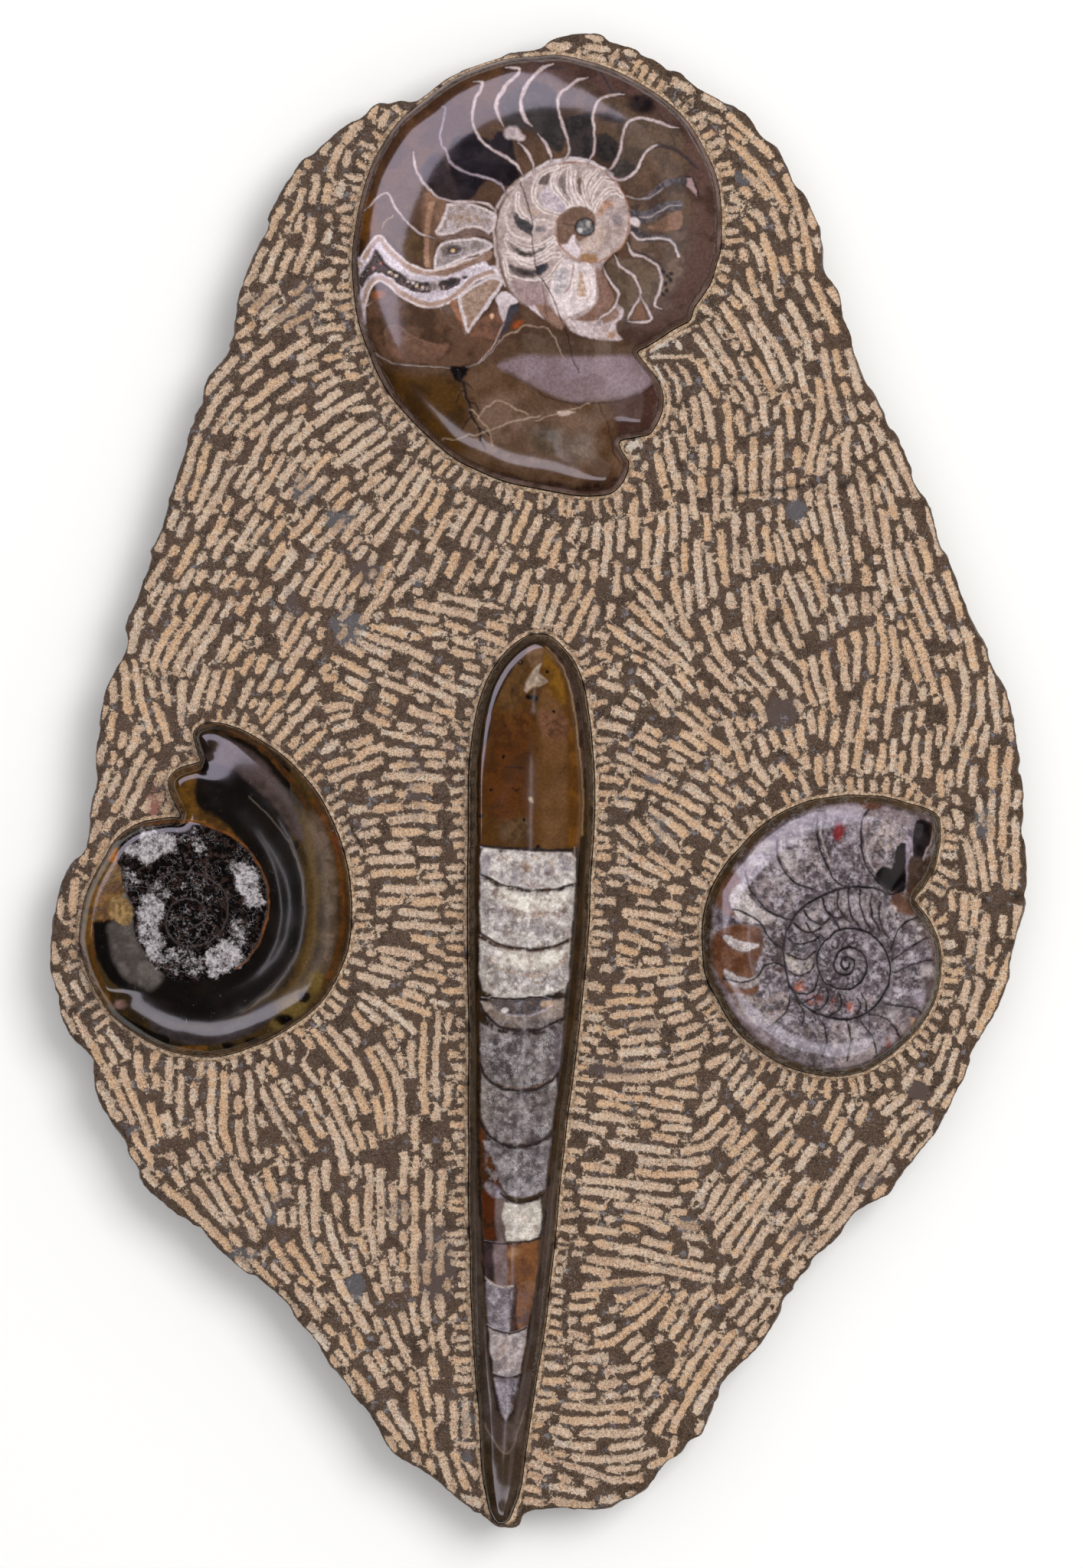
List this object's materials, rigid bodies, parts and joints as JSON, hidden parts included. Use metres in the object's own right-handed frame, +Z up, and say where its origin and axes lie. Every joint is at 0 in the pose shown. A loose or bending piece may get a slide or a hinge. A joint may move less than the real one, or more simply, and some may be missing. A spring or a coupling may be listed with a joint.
{
  "type": "fossil plate",
  "caption": "Lens-shaped chiselled limestone slab with polished coiled ammonites and a straight cone-shaped orthoceras standing in relief.",
  "frame": {"origin": "centre of the slab's outline, on its flat underside", "axes": "+X across the slab to the right, +Y along the slab towards the large ammonite, +Z up out of the carved face"},
  "size_m": [0.3394, 0.5178, 0.039],
  "materials": {
    "matrix_slab": "rough chiselled limestone",
    "large_ammonite": "polished brown and white calcite",
    "left_goniatite": "polished black and amber calcite",
    "right_goniatite": "polished grey calcite",
    "orthoceras": "polished brown and white calcite"
  },
  "bodies": {
    "root": {"matrix_slab": "matrix_slab", "large_ammonite": "large_ammonite", "left_goniatite": "left_goniatite", "right_goniatite": "right_goniatite", "orthoceras": "orthoceras"}
  },
  "joints": []
}
